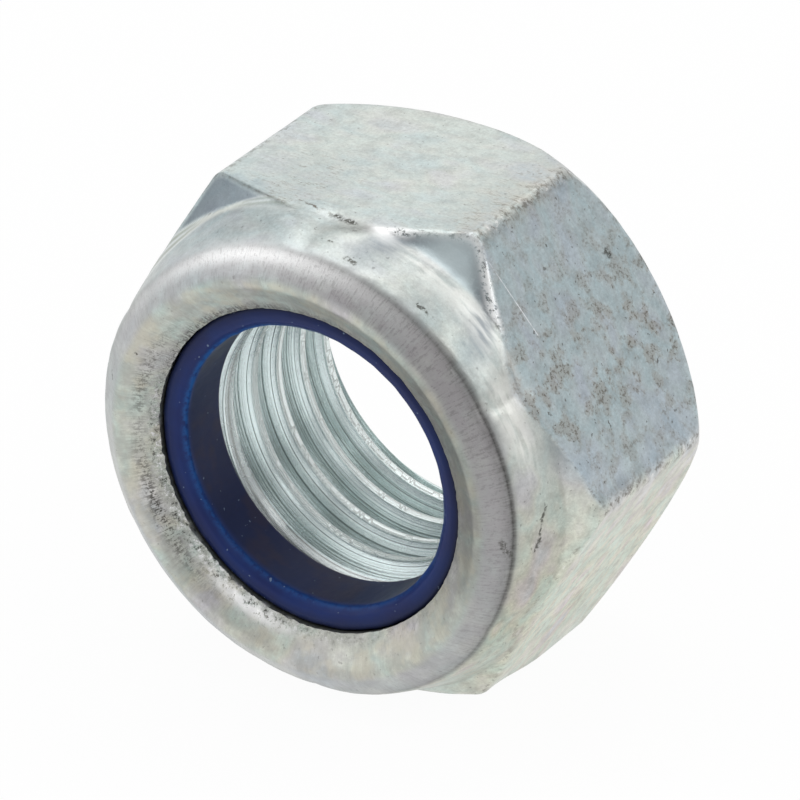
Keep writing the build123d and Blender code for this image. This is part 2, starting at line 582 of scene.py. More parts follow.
def end_marks(a, radius, above, bend, lip, pressed):
    """Tones of the rolled end: painted shade in the crease, a painted highlight on the outer edge,
    and the rough lip.

    The crease and the inside on the right get painted shade, the painted highlight is at the top,
    and the lip is dark with painted glints at the lower left, with dark strokes outside a bright
    rim.
    """
    # Painted shade in the crease and just inside it, strongest on the right side
    crease = bell(radius, bend - 0.08, 0.10)
    inner_shade = smoothstep(radius, bend - 1.1, bend - 0.1) ** 2
    inner_shade = inner_shade * smoothstep(radius, bend + 0.05, bend - 0.1)
    top = about(a, 100, 0.62)
    # A painted highlight along the rolled end's outer edge, at the top
    bright = bell(radius, bend - 0.42, 0.44)
    outside_lip = bell(radius, lip + 1.0, 0.42)
    on_lip = bell(radius, lip + 0.25, 0.38)
    upper_left = about(a, 158, 0.33)
    lower_left = about(a, 207, 0.42)
    sparkle = about(a, 215, 0.95)
    fringe = bell(radius, lip + 0.12, 0.30) * about(a, 135, 1.0)
    flash = bell(radius, lip + 0.55, 0.36)
    # Painted shade inside the bend on the right side
    inside_bend = smoothstep(radius, bend, bend - 0.6)
    # Dark streaks round the lip, heaviest just outside it at the upper and lower left
    dark = outside_lip * (0.7 * upper_left + lower_left) + 0.25 * on_lip + fringe
    return {
        "crease": (0.55 * crease + 0.60 * inner_shade) * (0.15 + 0.85 * pressed) * above,
        "edge_highlight": bright * top * above,
        "lip_dark": np.clip(dark, 0, 1) * above,
        "lip_glint": np.clip(on_lip * (0.25 + sparkle), 0, 1) * above,
        "lip_highlight": flash * about(a, 246, 0.26) * above,
        "right_shade": inside_bend * about(a, 15, 0.75) * above,
    }


def bore_radius(sizes, angle, height):
    """The bore: two countersinks and a right-handed groove, whichever reaches further out.

    The groove's phase is the height over the pitch less the turn's share of the angle. It is
    deepest within 1/16 of a pitch of a whole phase, and its 30 degree flanks end at 3/8.
    """
    pitch = sizes.thread_pitch / MM
    root = sizes.thread_diameter / MM / 2
    crest = root - 5 / 16 * math.sqrt(3) * pitch
    phase = (height - FIRST_GROOVE) / pitch - angle / TURN
    away = np.abs(phase - np.round(phase))
    depth = np.clip((3 / 8 - away) / (3 / 8 - 1 / 16), 0, 1)
    hollow = np.maximum(BEARING_MOUTH - height, RING_MOUTH - (RECESS_FLOOR - height))
    hollow = np.maximum(hollow, crest)
    groove = crest + (root - crest) * soft_min(depth, np.ones_like(depth) * 0.97, 0.08)
    return soft_max(hollow, groove, 0.05), depth, phase


def bore(sizes, angle):
    """The threaded bore, on a grid whose rows climb with the thread's helix."""
    pitch = sizes.thread_pitch / MM
    share = np.array([0, 0.05, 0.085, 0.18, 0.275, 0.355, 0.395])
    share = np.concatenate([share, [0.5], 1 - share[:0:-1]])
    turns = np.arange(-2, 7)
    rows = (turns[:, None] + share).ravel()
    height = FIRST_GROOVE + pitch * (angle[:, None] / TURN + rows)
    height = np.clip(height, 0, RECESS_FLOOR)
    radius, depth, phase = bore_radius(sizes, angle[:, None], height)
    return Patch(
        radius,
        angle[:, None],
        height,
        lift=len(share),
        bore=1.0,
        root=depth,
        phase=phase - np.round(phase),
        along=height,
    )


def recess(sizes, angle):
    """The hidden hollow that holds the ring, from the lip's edge down to the bore."""
    lip = sizes.lip_diameter / MM / 2
    top = bore_radius(sizes, angle, np.full_like(angle, RECESS_FLOOR))[0]
    ends = [(lip, 17.3), (RECESS_RADIUS, 16.25), (RECESS_RADIUS, RECESS_FLOOR)]
    radius = np.stack([np.full_like(angle, r) for r, _ in ends] + [top], 1)
    height = np.broadcast_to([z for _, z in ends] + [RECESS_FLOOR], radius.shape)
    # under_lip marks where painted shade goes under the lip
    return Patch(radius, angle[:, None], height, under_lip=1.0)


def bearing_face(sizes, angle):
    """The flat ring that the nut bears on."""
    outwards = np.linspace(BEARING_MOUTH, sizes.bearing_diameter / MM / 2, 5)
    radius = np.tile(outwards, (len(angle), 1))
    radius[:, 0] = bore_radius(sizes, angle, np.zeros_like(angle))[0]
    return Patch(radius, angle[:, None], np.zeros_like(radius), dish=0.3)


def join_edges(patches):
    """Moves the bearing face's rim onto the outside's, and bridges the lip to the recess."""
    shell, hidden, face = patches
    count = 6 * COLUMNS_PER_FLAT
    outer = shell.points.reshape(count, -1, 3)
    inner = hidden.points.reshape(count, -1, 3)
    flat = face.points.reshape(count, -1, 3)
    flat[:, -1] = outer[:, 0]
    bridge = np.stack([outer[:, -1], inner[:, 0]], 1)
    # under_lip marks where painted shade goes under the lip
    link = Patch(np.ones((count, 2)), 0.0, 0.0, under_lip=1.0)
    link.points = bridge.reshape(-1, 3)
    return link


# ---- materials

WHITE = (1, 1, 1, 1)

# Colours that the marks of the plating are painted with, painted shade and painted highlights
# among them, and the nylon's at the end
PALE_BLUE = (0.585, 0.655, 0.67, 1)
DOT_BROWN = (0.15, 0.135, 0.11, 1)
GRIME = (0.30, 0.275, 0.235, 1)
SOIL = (0.44, 0.40, 0.34, 1)
SCORE_BROWN = (0.20, 0.175, 0.14, 1)
FLECK = (0.17, 0.16, 0.14, 1)
CHIP = (0.90, 0.90, 0.88, 1)
SPECK = (0.11, 0.105, 0.095, 1)
# Painted shade: the blue-grey of corner A's hollow, and the dark shade of the shoulders
HOLLOW_SHADE_BLUE = (0.60, 0.70, 0.73, 1)
PAINTED_SHADE_DARK = (0.13, 0.16, 0.19, 1)
OLIVE = (0.33, 0.36, 0.27, 1)
# Painted highlights: bright arcs, the collar's highlight and glints on the rims
ARC_HIGHLIGHT = (0.86, 0.88, 0.86, 1)
COLLAR_HIGHLIGHT = (0.97, 0.97, 0.93, 1)
RIM_GLINT = (0.95, 0.96, 0.96, 1)
RIM_DARK = (0.14, 0.135, 0.13, 1)
DULL_GREY = (0.42, 0.415, 0.385, 1)
CREAM = (0.64, 0.60, 0.48, 1)
BAND_GREY = (0.36, 0.345, 0.355, 1)
# Painted highlight on the rolled end's outer edge
EDGE_HIGHLIGHT = (0.93, 0.93, 0.93, 1)
STROKE_DARK = (0.14, 0.13, 0.13, 1)
# Painted shade in the crease
CREASE_SHADE = (0.06, 0.058, 0.055, 1)
LIP_STREAK_DARK = (0.05, 0.045, 0.038, 1)
# Painted glints on the lip, and dark specks among them
GLINT_SILVER = (0.86, 0.86, 0.87, 1)
SPARKLE_DARK = (0.045, 0.04, 0.04, 1)
# Near-black painted shade under the lip
RECESS_SHADE = (0.012, 0.012, 0.014, 1)
FLANK_LIGHT = (0.88, 1.0, 1.0, 1)
TOOL_MARK = (0.13, 0.18, 0.18, 1)
# Dirt and painted shadow in the thread's groove; painted highlight on its crests
GROOVE_DIRT_AND_SHADOW = (0.13, 0.17, 0.135, 1)
CREST_HIGHLIGHT = (0.93, 0.97, 0.96, 1)
CREST_DARK = (0.12, 0.12, 0.11, 1)
SCRATCH_LIGHT = (0.95, 0.97, 1.0, 1)
NYLON_CLOUD = (0.011, 0.022, 0.115, 1)
# Painted shade on the nylon's bore wall, and brown painted reflection on it
WALL_SHADE_BLUE = (0.004, 0.010, 0.045, 1)
REFLECTION_BROWN = (0.022, 0.016, 0.028, 1)
# Painted shade on the nylon next to the lip
NYLON_SHADE = (0.002, 0.003, 0.012, 1)
# Painted highlight on the nylon's inner edge
HIGHLIGHT_BLUE = (0.015, 0.11, 0.36, 1)
DUST = (0.22, 0.30, 0.42, 1)


class Graph:
    """Adds nodes to a tree. Each call gives back the output that the next one takes."""

    def __init__(self, tree):
        self.tree = tree

    def put(self, kind, inputs, output=0, **settings):
        node = self.tree.nodes.new(kind)
        for name, value in settings.items():
            setattr(node, name, value)
        for name, value in inputs.items():
            socket = node.inputs[name]
            if isinstance(value, bpy.types.NodeSocket):
                self.tree.links.new(value, socket)
            else:
                socket.default_value = value
        return node.outputs[output]

    def vector(self, operation, inputs, output=0):
        return self.put("ShaderNodeVectorMath", inputs, output, operation=operation)

    def sum(self, a, b):
        return self.put("ShaderNodeMath", {0: a, 1: b}, operation="ADD")

    def times(self, a, b):
        return self.put("ShaderNodeMath", {0: a, 1: b}, operation="MULTIPLY")

    def rise(self, value, low, high, bottom=0.0, top=1.0):
        """Goes smoothly from bottom to top while the value goes from low to high."""
        return self.put(
            "ShaderNodeMapRange",
            {0: value, 1: low, 2: high, 3: bottom, 4: top},
            interpolation_type="SMOOTHSTEP",
        )

    def mark(self, name):
        """One of the marks that the mesh carries."""
        return self.put("ShaderNodeAttribute", {}, output=2, attribute_name=name)

    def stretch(self, vector, scale):
        return self.vector("MULTIPLY", {0: vector, 1: scale})

    def noise(self, vector, scale, detail=3.0, roughness=0.55):
        return self.put(
            "ShaderNodeTexNoise",
            {"Vector": vector, "Scale": scale, "Detail": detail, "Roughness": roughness},
        )

    def blend(self, factor, a, b):
        """From colour a at factor 0 to colour b at 1."""
        return self.put("ShaderNodeMix", {0: factor, 6: a, 7: b}, output=2, data_type="RGBA")

    def dim(self, tint, level):
        """A colour times a level."""
        return self.vector("SCALE", {0: tint, "Scale": level})

    def paint(self, tint, shade, where, strength):
        """Covers a tint with a shade, as far as a mark times a strength."""
        return self.blend(self.times(where, strength), tint, shade)

    def mix(self, factor, a, b):
        """From the number a at factor 0 to b at 1."""
        return self.put("ShaderNodeMix", {0: factor, 2: a, 3: b}, data_type="FLOAT")

    def scratch(self, point, start, end, width):
        """1 on the line from start to end, falling to 0 at width from it, all in mm."""
        run = np.array(end, float) - np.array(start, float)
        away = self.vector("SUBTRACT", {0: point, 1: tuple(start)})
        dot = self.vector("DOT_PRODUCT", {0: away, 1: tuple(run / (run @ run))}, output=1)
        share = self.put("ShaderNodeMath", {0: dot, 1: 0.0}, operation="ADD", use_clamp=True)
        foot = self.vector("SCALE", {0: tuple(run), "Scale": share})
        gap = self.vector("DISTANCE", {0: away, 1: foot}, output=1)
        return self.rise(gap, width, width * 0.3)


def colour(value):
    return (*value, 1.0)


def new_material(name):
    material = bpy.data.materials.new(name)
    material.use_nodes = True
    return material, Graph(material.node_tree), material.node_tree.nodes["Principled BSDF"]


def object_mm(g):
    """Each point's place on the piece, in mm."""
    return g.stretch(g.put("ShaderNodeTexCoord", {}, output=3), (1000, 1000, 1000))


def finish(material, shader, tint, rough, height, strength, depth):
    """Links a shader's colour, roughness and bump."""
    inputs = {"Strength": strength, "Distance": depth, "Height": height}
    bump = Graph(material.node_tree).put("ShaderNodeBump", inputs)
    for socket, source in (("Base Color", tint), ("Roughness", rough), ("Normal", bump)):
        material.node_tree.links.new(source, shader.inputs[socket])


def round_axis(g, mm):
    """Direction from the thread axis, and distance from it, for each point."""
    middle = STEEL_HIGH.z / MM / 2
    away = g.vector("SUBTRACT", {0: mm, 1: (0, 0, middle)})
    flat = g.stretch(away, (1, 0, 1))
    return g.vector("NORMALIZE", {0: flat}), g.vector("LENGTH", {0: flat}, output=1)


def radial_strokes(g, mm, scale):
    """Noise that stays nearly the same along each radius, so that it reads as fine strokes."""
    ring, radius = round_axis(g, mm)
    along = g.put("ShaderNodeCombineXYZ", {1: g.times(radius, 0.14)})
    place = g.vector("MULTIPLY_ADD", {0: ring, 1: (13, 0, 13), 2: along})
    return g.noise(place, scale, 3.0, 0.65)


# Places on a ramp from 0 to 1 and their colours
THIN_FILM = (
    (0.30, (0.70, 0.56, 0.62)),
    (0.40, (0.72, 0.68, 0.48)),
    (0.48, (0.54, 0.70, 0.56)),
    (0.56, (0.70, 0.68, 0.50)),
    (0.64, (0.70, 0.60, 0.58)),
    (0.75, (0.58, 0.64, 0.74)),
)


def plate_tones(g, mm, sizes):
    """The plating's colours: pale, a darker blue on one flat that is partly painted shade, with
    thin-film tints on another.
    """
    cloud = g.noise(mm, 0.20, 4.0, 0.6)
    tint = g.blend(g.rise(cloud, 0.38, 0.62), colour(sizes.pale), PALE_BLUE)
    # The darker blue-grey, partly painted shade, on the right flat and under corner C
    tint = g.paint(tint, colour(sizes.blue_grey_and_shade), g.mark("blue_grey_and_shade"), 0.9)
    warm = g.mark("warm")
    tint = g.blend(g.times(warm, g.rise(cloud, 0.25, 0.7)), tint, colour(sizes.warm))
    swirl = g.noise(g.stretch(mm, (0.6, 1.0, 0.6)), 0.36, 2.0)
    film = g.put("ShaderNodeValToRGB", {"Fac": swirl})
    bands = film.node.color_ramp
    for place, shade in THIN_FILM:
        bands.elements.new(place).color = colour(shade)
    bands.elements.remove(bands.elements[0])
    bands.elements.remove(bands.elements[-1])
    filmed = g.sum(g.times(warm, 0.45), g.times(g.mark("dish"), 0.24))
    tint = g.blend(g.sum(0.14, filmed), tint, film)
    grain = g.rise(g.noise(mm, 5.0, 5.0, 0.75), 0.30, 0.70, 0.88, 1.08)
    patches = g.rise(g.noise(mm, 0.9, 4.0, 0.7), 0.30, 0.62, 0.84, 1.05)
    return g.dim(g.dim(tint, grain), patches), cloud


def shoulder_tones(g, mm, tint):
    """Painted shade in the hollows and on facet C, painted glints on the rims, painted bright arcs
    with olive arcs between, a darker collar, and the collar's streaked painted highlight.
    """
    fine = g.noise(mm, 3.8, 4.0, 0.75)
    streaks = g.noise(g.stretch(mm, (0.3, 1.7, 0.3)), 1.4, 2.0, 0.5)
    tint = g.dim(tint, g.rise(g.mark("collar"), 0.0, 1.0, 1.0, 0.82))
    # Painted shade along the shoulders' top edge
    tint = g.dim(tint, g.rise(g.mark("top_line"), 0.0, 1.0, 1.0, 0.45))
    hollow = g.mark("hollow")
    # Corner A's hollow painted a darker blue-grey, as painted shade
    tint = g.paint(tint, HOLLOW_SHADE_BLUE, hollow, 0.85)
    broken = g.rise(fine, 0.32, 0.54, -0.55, 0.0)
    shade = g.times(g.mark("shade"), g.sum(1.0, g.times(hollow, broken)))
    # Painted shade, broken up by noise in corner A's hollow
    tint = g.paint(tint, PAINTED_SHADE_DARK, shade, 0.96)
    tint = g.paint(tint, OLIVE, g.mark("olive"), 0.80)
    # Bright arcs under corner C, as painted highlights
    tint = g.paint(tint, ARC_HIGHLIGHT, g.mark("arc"), 0.60)
    # The collar's painted highlight, streaked
    collar_highlight = g.times(g.mark("collar_highlight"), g.rise(streaks, 0.36, 0.58, 0.30, 1.0))
    tint = g.paint(tint, COLLAR_HIGHLIGHT, collar_highlight, 0.62)
    rim = g.mark("rim")
    # Painted glints on the rims
    tint = g.blend(g.times(rim, g.rise(fine, 0.40, 0.50)), tint, RIM_GLINT)
    # A painted white highlight at the tip
    tint = g.blend(g.mark("tip_highlight"), tint, WHITE)
    return g.blend(g.times(rim, g.rise(fine, 0.45, 0.38, 0.0, 0.9)), tint, RIM_DARK)


def end_tones(g, mm, tint):
    """The rolled end: grey brushed band, painted shade in the crease and on the right, a painted
    highlight on the outer edge, blotched dish, rough lip with painted glints and painted shade
    under it.
    """
    fine = g.noise(mm, 5.0, 4.0, 0.75)
    strokes = g.sum(g.times(radial_strokes(g, mm, 9.0), 0.5), g.times(fine, 0.5))
    blot = g.noise(mm, 0.8, 4.0, 0.65)
    band = g.mark("band")
    dish = g.mark("dish")
    dulled = g.times(dish, g.rise(blot, 0.35, 0.62, 0.10, 0.60))
    tint = g.blend(dulled, tint, DULL_GREY)
    cream = g.times(dish, g.rise(g.noise(mm, 0.42, 3.0, 0.6), 0.48, 0.62))
    tint = g.paint(tint, CREAM, cream, 0.42)
    # Painted shade: the inside of the rolled end darker on the right
    tint = g.dim(tint, g.rise(g.mark("right_shade"), 0.0, 1.0, 0.96, 0.60))
    grey = g.times(band, g.rise(blot, 0.30, 0.60, 0.60, 0.95))
    tint = g.blend(grey, tint, BAND_GREY)
    # Painted highlight on the outer edge at the top
    light = g.times(g.mark("edge_highlight"), g.rise(strokes, 0.34, 0.54, 0.55, 1.0))
    tint = g.blend(light, tint, EDGE_HIGHLIGHT)
    brushed = g.times(g.sum(band, g.times(dish, 0.35)), g.rise(strokes, 0.48, 0.60))
    tint = g.paint(tint, STROKE_DARK, brushed, 0.36)
    # Painted shade in the crease
    crease = g.times(g.mark("crease"), g.rise(strokes, 0.30, 0.62, 0.70, 1.0))
    tint = g.paint(tint, CREASE_SHADE, crease, 0.9)
    grit = g.noise(mm, 2.7, 5.0, 0.8)
    # Dark streaks at the lip
    lip_streaks = g.times(g.mark("lip_dark"), g.rise(g.sum(strokes, g.times(grit, 0.7)), 0.80, 0.92))
    tint = g.paint(tint, LIP_STREAK_DARK, lip_streaks, 0.95)
    light = g.mark("lip_glint")
    flakes = g.sum(g.times(grit, 0.6), g.times(strokes, 0.4))
    # Painted glints on the lip
    silver = g.times(light, g.rise(flakes, 0.50, 0.58, 0.0, 0.85))
    tint = g.blend(silver, tint, GLINT_SILVER)
    # Dark specks among the painted glints
    dark_specks = g.times(light, g.rise(flakes, 0.48, 0.42, 0.0, 0.9))
    tint = g.blend(dark_specks, tint, SPARKLE_DARK)
    # A painted white highlight on the lip at the lower left
    flash = g.times(g.mark("lip_highlight"), g.rise(grit, 0.40, 0.47))
    tint = g.blend(flash, tint, WHITE)
    # Near-black painted shade under the lip and in the recess
    tint = g.paint(tint, RECESS_SHADE, g.mark("under_lip"), 0.95)
    return tint, strokes, grit


def stains(g, mm, tint, sizes):
    """Mottles on one flat, grime on the warm side, scuffs beside corner A, flecks and specks."""
    dots = g.rise(g.noise(mm, 4.6, 4.0, 0.7), 0.50, 0.60)
    blotch = g.rise(g.noise(mm, 0.80, 4.0, 0.62), 0.46, 0.62)
    stained = g.mark("stained")
    mottle = g.times(stained, blotch)
    tint = g.paint(tint, colour(sizes.stain), mottle, 0.52)
    dotted = g.times(g.sum(mottle, g.times(stained, 0.12)), g.times(dots, 0.7))
    tint = g.blend(dotted, tint, DOT_BROWN)
    grime = g.times(g.mark("warm"), g.rise(g.noise(mm, 1.3, 5.0, 0.75), 0.48, 0.62))
    tint = g.paint(tint, GRIME, grime, 0.42)
    lines = g.noise(g.stretch(mm, (1.0, 3.6, 1.6)), 1.7, 4.0, 0.75)
    scuffed = g.mark("scuffed")
    # On the steel this mark is wear on the top flat
    wear_and_highlight = g.mark("wear_and_highlight")
    cover = g.noise(mm, 0.9, 4.0, 0.7)
    soiled = g.times(g.sum(scuffed, g.times(wear_and_highlight, 0.5)), g.rise(cover, 0.36, 0.60))
    tint = g.paint(tint, SOIL, soiled, 0.45)
    cuts = g.times(g.rise(lines, 0.52, 0.62), g.rise(cover, 0.40, 0.56))
    scored = g.times(g.sum(g.sum(scuffed, wear_and_highlight), 0.10), cuts)
    tint = g.paint(tint, SCORE_BROWN, scored, 0.62)
    grain = g.noise(mm, 2.6, 6.0, 0.7)
    flecks = g.times(g.mark("corner_edge"), g.rise(grain, 0.50, 0.60))
    tint = g.paint(tint, FLECK, flecks, 0.78)
    chips = g.times(g.mark("corner_edge"), g.rise(grain, 0.42, 0.34))
    tint = g.paint(tint, CHIP, chips, 0.7)
    specks = g.rise(g.noise(mm, 3.1, 2.0, 0.5), 0.685, 0.73)
    specks = g.times(specks, g.sum(0.45, g.times(stained, 0.4)))
    tint = g.blend(specks, tint, SPECK)
    return tint, mottle, lines


def thread_tones(g, tint):
    """Bright tooled flanks, painted highlights on the crests, and grey-green dirt with painted
    shadow in the part of the groove beside the crest.
    """
    inside = g.mark("bore")
    phase = g.mark("phase")
    along = g.times(g.mark("along"), 0.06)
    place = g.put("ShaderNodeCombineXYZ", {0: g.times(phase, 30.0), 1: along})
    tooling = g.noise(place, 1.0, 4.0, 0.75)
    patchy = g.noise(g.put("ShaderNodeTexCoord", {}, output=3), 450.0, 4.0, 0.65)
    tint = g.blend(inside, tint, FLANK_LIGHT)
    marks = g.times(inside, g.rise(tooling, 0.545, 0.60))
    tint = g.paint(tint, TOOL_MARK, marks, 0.80)
    # Grey-green dirt with painted shadow in the groove beside the crest
    deep = g.times(g.rise(phase, -0.10, 0.03), g.rise(phase, 0.36, 0.20))
    deep = g.times(g.times(inside, deep), g.rise(patchy, 0.32, 0.62, 0.45, 0.95))
    tint = g.blend(deep, tint, GROOVE_DIRT_AND_SHADOW)
    # Painted highlight on the crests
    crest = g.times(inside, g.rise(g.mark("root"), 0.04, 0.0))
    tint = g.paint(tint, CREST_HIGHLIGHT, crest, 0.65)
    fine = g.times(crest, g.rise(tooling, 0.56, 0.61))
    return g.paint(tint, CREST_DARK, fine, 0.6), tooling


BLACK = (0.07, 0.07, 0.06)
BROWN = (0.16, 0.145, 0.12)

# Start, end and half width in mm, strength, colour
LONE_MARKS = (
    ((14.81, -6.33, 15.99), (14.54, -6.88, 13.29), 0.17, 0.9, BLACK),
    ((-2.6, -4.35, 30.0), (-1.2, -4.55, 30.0), 0.13, 0.7, BROWN),
    ((-1.48, -4.52, 30.0), (0.2, -4.80, 30.0), 0.17, 0.85, BROWN),
    ((0.0, -4.80, 30.0), (1.75, -5.11, 30.0), 0.32, 0.95, BLACK),
    ((2.75, -7.62, 29.15), (3.30, -7.70, 29.0), 0.24, 0.85, BLACK),
    ((1.15, -7.04, 29.54), (1.40, -7.04, 29.54), 0.12, 0.8, BLACK),
    ((7.43, -7.46, 27.4), (8.32, -7.54, 26.78), 0.17, 0.85, BLACK),
    ((11.23, 6.16, 25.5), (11.35, 6.3, 25.3), 0.34, 0.9, BLACK),
    ((10.06, 1.78, 27.58), (10.10, 1.80, 27.5), 0.13, 0.95, BLACK),
    ((13.48, -8.82, 14.38), (13.77, -8.5, 13.4), 0.30, 0.75, BLACK),
    ((13.0, -8.75, 14.1), (13.6, -8.9, 13.9), 0.14, 0.75, BLACK),
    ((13.02, -5.75, 22.45), (13.43, -5.37, 21.75), 0.16, 0.75, BLACK),
    ((13.08, -7.14, 8.61), (13.08, -7.14, 8.5), 0.12, 0.95, BLACK),
    ((12.72, -6.72, 7.62), (12.72, -6.72, 7.5), 0.12, 0.95, BLACK),
    ((-12.87, -9.01, 18.29), (-12.7, -9.1, 18.0), 0.16, 0.9, BLACK),
    ((-10.88, -9.5, 20.34), (-10.7, -9.5, 20.1), 0.12, 0.8, BLACK),
)


def lone_marks(g, mm, tint):
    """The few scratches, dents and smudges that have a place of their own, in mm."""
    wander = g.put("ShaderNodeTexNoise", {"Vector": mm, "Scale": 1.9, "Detail": 4.0}, output=1)
    shift = g.vector("SUBTRACT", {0: wander, 1: (0.5, 0.5, 0.5)})
    shaken = g.vector("MULTIPLY_ADD", {0: shift, 1: (0.7, 0.7, 0.7), 2: mm})
    broken = g.rise(g.noise(mm, 4.0, 3.0, 0.7), 0.40, 0.50)
    for start, end, width, strength, shade in LONE_MARKS:
        hit = g.times(g.scratch(shaken, start, end, width), broken)
        tint = g.paint(tint, colour(shade), hit, strength)
    bright = g.scratch(mm, (9.16, -3.34, 29.14), (12.0, -2.28, 24.2), 0.055)
    bright = g.times(bright, g.rise(g.noise(mm, 1.2), 0.35, 0.5, 0.25, 0.75))
    return g.blend(bright, tint, SCRATCH_LIGHT)


def plating(sizes):
    """Zinc plating: its tones, then stains, shoulders, rolled end, thread and lone marks."""
    material, g, shader = new_material("zinc_plating")
    mm = object_mm(g)
    tint, cloud = plate_tones(g, mm, sizes)
    tint, mottle, lines = stains(g, mm, tint, sizes)
    tint = shoulder_tones(g, mm, tint)
    tint, strokes, grit = end_tones(g, mm, tint)
    tint, tooling = thread_tones(g, tint)
    tint = lone_marks(g, mm, tint)

    inside = g.mark("bore")
    rough = g.sum(0.30, g.times(mottle, 0.22))
    rough = g.sum(rough, g.times(g.rise(cloud, 0.3, 0.7), 0.08))
    rough = g.sum(rough, g.times(g.sum(g.mark("band"), g.mark("dish")), 0.10))
    rough = g.sum(rough, g.times(inside, -0.10))
    waves = g.times(g.noise(mm, 1.1, 3.0, 0.5), 0.6)
    height = g.sum(waves, g.times(g.noise(mm, 3.0, 5.0, 0.7), 0.45))
    for where, pattern, strength in (
        (g.mark("band"), strokes, 1.1),
        (g.mark("lip_edge"), grit, 2.2),
        (g.mark("rim"), grit, 1.5),
        (inside, tooling, 1.0),
    ):
        height = g.sum(height, g.times(g.times(where, pattern), strength))
    height = g.sum(height, g.times(lines, -0.3))
    finish(material, shader, tint, rough, height, 0.6, 0.05 * MM)
    shader.inputs["Metallic"].default_value = 0.82
    return material


def nylon(ring):
    """Dark satin nylon with painted shade and brown painted reflection on its bore wall, painted
    shade next to the lip, a painted highlight along its ragged inner edge, and a few dust specks.
    """
    material, g, shader = new_material("blue_nylon")
    mm = object_mm(g)
    cloud = g.noise(mm, 0.35, 3.0)
    tint = g.blend(g.rise(cloud, 0.3, 0.7), colour(ring.colour), NYLON_CLOUD)
    # The ring's bore wall gets painted shade, dark blue, with brown patches of painted reflection
    brown_reflection = g.rise(g.noise(mm, 0.28, 3.0), 0.48, 0.62)
    wall = g.blend(brown_reflection, WALL_SHADE_BLUE, REFLECTION_BROWN)
    tint = g.paint(tint, wall, g.mark("inner_wall"), 0.7)
    # Painted shade on the nylon next to the lip
    tint = g.paint(tint, NYLON_SHADE, g.mark("under_lip"), 0.85)
    ragged = g.rise(g.noise(mm, 2.4, 4.0, 0.7), 0.34, 0.56, 0.15, 0.95)
    # A painted highlight along the ragged inner edge of the nylon
    tint = g.blend(g.times(g.mark("wear_and_highlight"), ragged), tint, HIGHLIGHT_BLUE)
    dust = g.rise(g.noise(mm, 3.2, 1.0), 0.745, 0.78)
    tint = g.paint(tint, DUST, dust, 0.6)
    grain = g.noise(g.stretch(mm, (1.0, 0.4, 1.0)), 2.4, 4.0, 0.6)
    rough = g.sum(0.30, g.times(grain, 0.18))
    finish(material, shader, tint, rough, grain, 0.35, 0.04 * MM)
    shader.inputs["Specular IOR Level"].default_value = 0.2
    return material


# ---- operators


class NUT_OT_steel_body(bpy.types.Operator):
    """Builds the plated steel body with its collar, lip and thread"""

    bl_idname = "nut.steel_body"
    bl_label = "Steel Body"

    def execute(self, context):
        sizes = context.scene.steel_body
        angle = columns()
        shell = outside(sizes, angle)
        hidden = recess(sizes, angle)
        face = bearing_face(sizes, angle)
        link = join_edges([shell, hidden, face])
        patches = [shell, link, hidden, bore(sizes, angle), face]
        piece = mesh_piece("plated_steel_body", patches, 50)
        piece.data.materials.append(plating(sizes))
        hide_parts("nut_body")
        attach(piece, "root")
        return {"FINISHED"}


class NUT_OT_nylon_ring(bpy.types.Operator):
    """Builds the nylon ring that fills the recess behind the lip"""

    bl_idname = "nut.nylon_ring"
    bl_label = "Nylon Ring"

    def execute(self, context):
        ring = context.scene.nylon_ring
        angle = columns()[:, None]
        bore_wall = ring.bore_diameter / MM / 2
        line = rounded_line(
            [
                (12.28, 13.78),
                (12.28, 16.2),
                (10.25, 17.2),
                (10.13, 17.55),
                (9.7, 17.68),
                (9.2, 17.6),
                (bore_wall, 17.15),
                (bore_wall + 0.02, 13.77),
                (12.28, 13.78),
            ],
            [0.05, 0.1, 0.08, 0.2, 0.25, 0.35, 0.1],
        )
        s = lengths(line)
        along = np.linspace(0, s[-1], RING_ROWS)
        radius = np.interp(along, s, line[:, 0])
        radius = np.broadcast_to(radius, (len(angle), RING_ROWS))
        height = np.broadcast_to(np.interp(along, s, line[:, 1]), radius.shape)
        shown = smoothstep(height, 16.9, 17.2) * smoothstep(radius, 10.6, 10.2)
        points = standing(radius, angle, height)
        radius = radius + shown * 0.02 * ripple(points, 1.5, 11)
        left = 0.4 + 0.6 * about(angle, 140, 1.0)
        # Painted highlight along the inner edge, strongest at the upper left
        wear_and_highlight = bell(height, 17.2, 0.17) * smoothstep(radius, 9.2, 8.9) * left
        # The bore wall, for painted shade and painted reflection
        inner_wall = smoothstep(height, 17.1, 16.6) * smoothstep(radius, 9.4, 9.0)
        # Painted shade on the nylon, darkest next to the lip
        under_lip = 0.55 * smoothstep(radius, 8.9, 9.9) + 0.45 * smoothstep(radius, 9.8, 10.12)
        marks = {"wear_and_highlight": wear_and_highlight, "inner_wall": inner_wall, "under_lip": under_lip}
        piece = mesh_piece("blue_nylon_ring", [Patch(radius, angle, height, **marks)], 40)
        piece.data.materials.append(nylon(ring))
        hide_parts("nylon_ring")
        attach(piece, "root")
        return {"FINISHED"}


